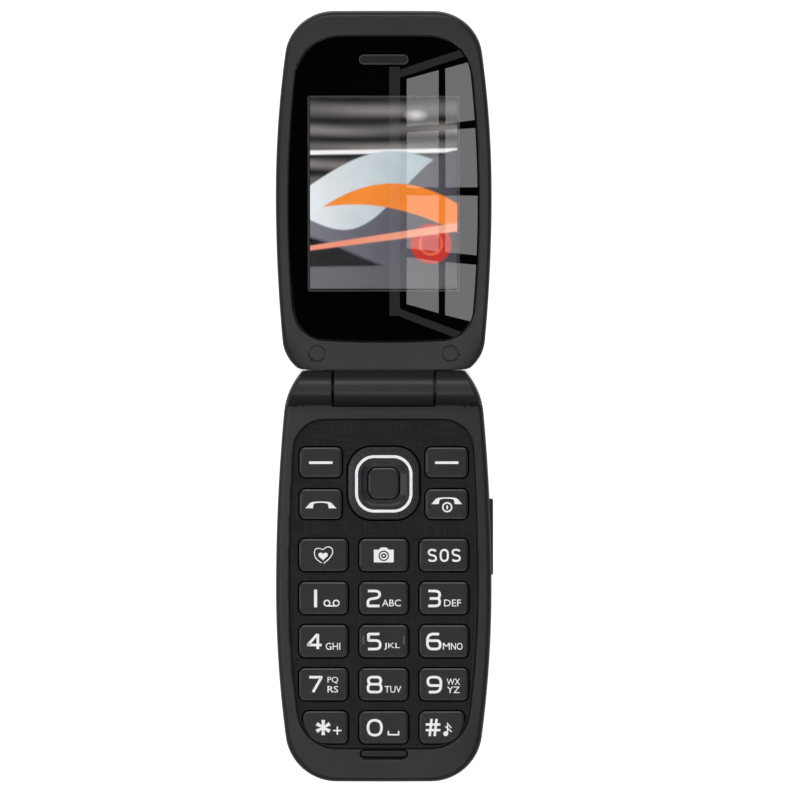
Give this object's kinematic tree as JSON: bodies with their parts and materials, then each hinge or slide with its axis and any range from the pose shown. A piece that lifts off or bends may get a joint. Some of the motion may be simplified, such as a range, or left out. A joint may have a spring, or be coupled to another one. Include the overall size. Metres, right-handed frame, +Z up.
{
  "type": "flip phone",
  "caption": "Folding keypad phone with a tall inner display, a telephone keypad with navigation ring, a volume key on the side and a sliding battery door.",
  "frame": {"origin": "middle of the flat back of the base, under its widest line", "axes": "+Y along the phone from the keypad's lower end to the hinge and lid, +Z up out of the keypad, +X to the keypad's right"},
  "size_m": [0.0544, 0.1923, 0.0364],
  "materials": {
    "case": "soft-touch dark grey plastic",
    "keys": "dark grey keys with white legends",
    "nav_ring": "dark grey ring with a white line",
    "keypad_plate": "near-black plate with fine upright lines",
    "rubber": "soft rubber",
    "metal": "plain steel",
    "circuit_board": "green circuit board",
    "inner_plastic": "plain inner plastic",
    "window": "glossy black window",
    "display": "display panel",
    "mesh": "fine dark mesh",
    "flex_film": "amber film"
  },
  "bodies": {
    "base": {"base_front_cover": "case", "base_rear_case": "case", "keypad_plate": "keypad_plate", "keypad_mat": "rubber", "dome_sheet": "metal", "bumper_bar": "rubber", "main_board": "circuit_board", "board_shields": "metal", "card_sockets": "metal", "battery": "inner_plastic", "battery_connector": "inner_plastic", "loudspeaker": "inner_plastic", "vibration_motor": "metal", "microphone": "inner_plastic", "charging_socket": "metal", "antenna": "inner_plastic", "side_switches": "inner_plastic", "lid_sensor": "inner_plastic", "base_screws": "metal", "hinge_shaft": "metal", "hinge_pin": "metal"},
    "lid": {"lid_front_bezel": "case", "lid_rear_cover": "case", "display_window": "window", "display_module": "display", "earpiece_mesh": "mesh", "earpiece_speaker": "inner_plastic", "lid_screw_caps": "case", "lid_screws": "metal", "lid_board": "circuit_board", "lid_magnet": "metal", "camera_module": "inner_plastic", "outer_window": "window", "outer_display_module": "display", "hinge_cartridge": "metal", "flex_cable": "flex_film"},
    "battery_door": {"battery_door": "case"},
    "nav_pad": {"nav_pad": "rubber"},
    "nav_ring": {"nav_ring": "nav_ring"},
    "ok_key": {"ok_key": "keys"},
    "volume_key": {"volume_key": "keys"},
    "key_soft_left": {"key_soft_left": "keys"},
    "key_call": {"key_call": "keys"},
    "key_soft_right": {"key_soft_right": "keys"},
    "key_end": {"key_end": "keys"},
    "key_favourite": {"key_favourite": "keys"},
    "key_camera": {"key_camera": "keys"},
    "key_sos": {"key_sos": "keys"},
    "key_1": {"key_1": "keys"},
    "key_2": {"key_2": "keys"},
    "key_3": {"key_3": "keys"},
    "key_4": {"key_4": "keys"},
    "key_5": {"key_5": "keys"},
    "key_6": {"key_6": "keys"},
    "key_7": {"key_7": "keys"},
    "key_8": {"key_8": "keys"},
    "key_9": {"key_9": "keys"},
    "key_star": {"key_star": "keys"},
    "key_0": {"key_0": "keys"},
    "key_hash": {"key_hash": "keys"}
  },
  "joints": [
    {"name": "lid_hinge", "type": "hinge", "parent": "base", "child": "lid", "pos_m": [0, 0.05, 0.01175], "axis": [1, 0, 0], "range_deg": [0, 165]},
    {"name": "battery_door_slide", "type": "slide", "parent": "base", "child": "battery_door", "axis": [0, -1, 0], "range_m": [0, 0.09]},
    {"name": "key_soft_left_press", "type": "slide", "parent": "base", "child": "key_soft_left", "axis": [0, 0, -1], "range_m": [0, 0.0003], "stiffness_N_per_m": 5000},
    {"name": "key_call_press", "type": "slide", "parent": "base", "child": "key_call", "axis": [0, 0, -1], "range_m": [0, 0.0003], "stiffness_N_per_m": 5000},
    {"name": "key_soft_right_press", "type": "slide", "parent": "base", "child": "key_soft_right", "axis": [0, 0, -1], "range_m": [0, 0.0003], "stiffness_N_per_m": 5000},
    {"name": "key_end_press", "type": "slide", "parent": "base", "child": "key_end", "axis": [0, 0, -1], "range_m": [0, 0.0003], "stiffness_N_per_m": 5000},
    {"name": "key_favourite_press", "type": "slide", "parent": "base", "child": "key_favourite", "axis": [0, 0, -1], "range_m": [0, 0.0003], "stiffness_N_per_m": 5000},
    {"name": "key_camera_press", "type": "slide", "parent": "base", "child": "key_camera", "axis": [0, 0, -1], "range_m": [0, 0.0003], "stiffness_N_per_m": 5000},
    {"name": "key_sos_press", "type": "slide", "parent": "base", "child": "key_sos", "axis": [0, 0, -1], "range_m": [0, 0.0003], "stiffness_N_per_m": 5000},
    {"name": "key_1_press", "type": "slide", "parent": "base", "child": "key_1", "axis": [0, 0, -1], "range_m": [0, 0.0003], "stiffness_N_per_m": 5000},
    {"name": "key_2_press", "type": "slide", "parent": "base", "child": "key_2", "axis": [0, 0, -1], "range_m": [0, 0.0003], "stiffness_N_per_m": 5000},
    {"name": "key_3_press", "type": "slide", "parent": "base", "child": "key_3", "axis": [0, 0, -1], "range_m": [0, 0.0003], "stiffness_N_per_m": 5000},
    {"name": "key_4_press", "type": "slide", "parent": "base", "child": "key_4", "axis": [0, 0, -1], "range_m": [0, 0.0003], "stiffness_N_per_m": 5000},
    {"name": "key_5_press", "type": "slide", "parent": "base", "child": "key_5", "axis": [0, 0, -1], "range_m": [0, 0.0003], "stiffness_N_per_m": 5000},
    {"name": "key_6_press", "type": "slide", "parent": "base", "child": "key_6", "axis": [0, 0, -1], "range_m": [0, 0.0003], "stiffness_N_per_m": 5000},
    {"name": "key_7_press", "type": "slide", "parent": "base", "child": "key_7", "axis": [0, 0, -1], "range_m": [0, 0.0003], "stiffness_N_per_m": 5000},
    {"name": "key_8_press", "type": "slide", "parent": "base", "child": "key_8", "axis": [0, 0, -1], "range_m": [0, 0.0003], "stiffness_N_per_m": 5000},
    {"name": "key_9_press", "type": "slide", "parent": "base", "child": "key_9", "axis": [0, 0, -1], "range_m": [0, 0.0003], "stiffness_N_per_m": 5000},
    {"name": "key_star_press", "type": "slide", "parent": "base", "child": "key_star", "axis": [0, 0, -1], "range_m": [0, 0.0003], "stiffness_N_per_m": 5000},
    {"name": "key_0_press", "type": "slide", "parent": "base", "child": "key_0", "axis": [0, 0, -1], "range_m": [0, 0.0003], "stiffness_N_per_m": 5000},
    {"name": "key_hash_press", "type": "slide", "parent": "base", "child": "key_hash", "axis": [0, 0, -1], "range_m": [0, 0.0003], "stiffness_N_per_m": 5000},
    {"name": "ok_key_press", "type": "slide", "parent": "base", "child": "ok_key", "axis": [0, 0, -1], "range_m": [0, 0.0003], "stiffness_N_per_m": 5000},
    {"name": "nav_tilt_up_down", "type": "hinge", "parent": "base", "child": "nav_pad", "pos_m": [0, 0.0262, 0.009], "axis": [1, 0, 0], "range_deg": [-0.9, 0.9], "stiffness_Nm_per_rad": 0.5},
    {"name": "nav_tilt_left_right", "type": "hinge", "parent": "nav_pad", "child": "nav_ring", "pos_m": [0, 0.0262, 0.009], "axis": [0, 1, 0], "range_deg": [-0.9, 0.9], "stiffness_Nm_per_rad": 0.5},
    {"name": "volume_key_rock", "type": "hinge", "parent": "base", "child": "volume_key", "pos_m": [0.0242, 0.0128, 0.0084], "axis": [0, 0, 1], "range_deg": [-1.2, 1.2], "stiffness_Nm_per_rad": 0.5}
  ]
}
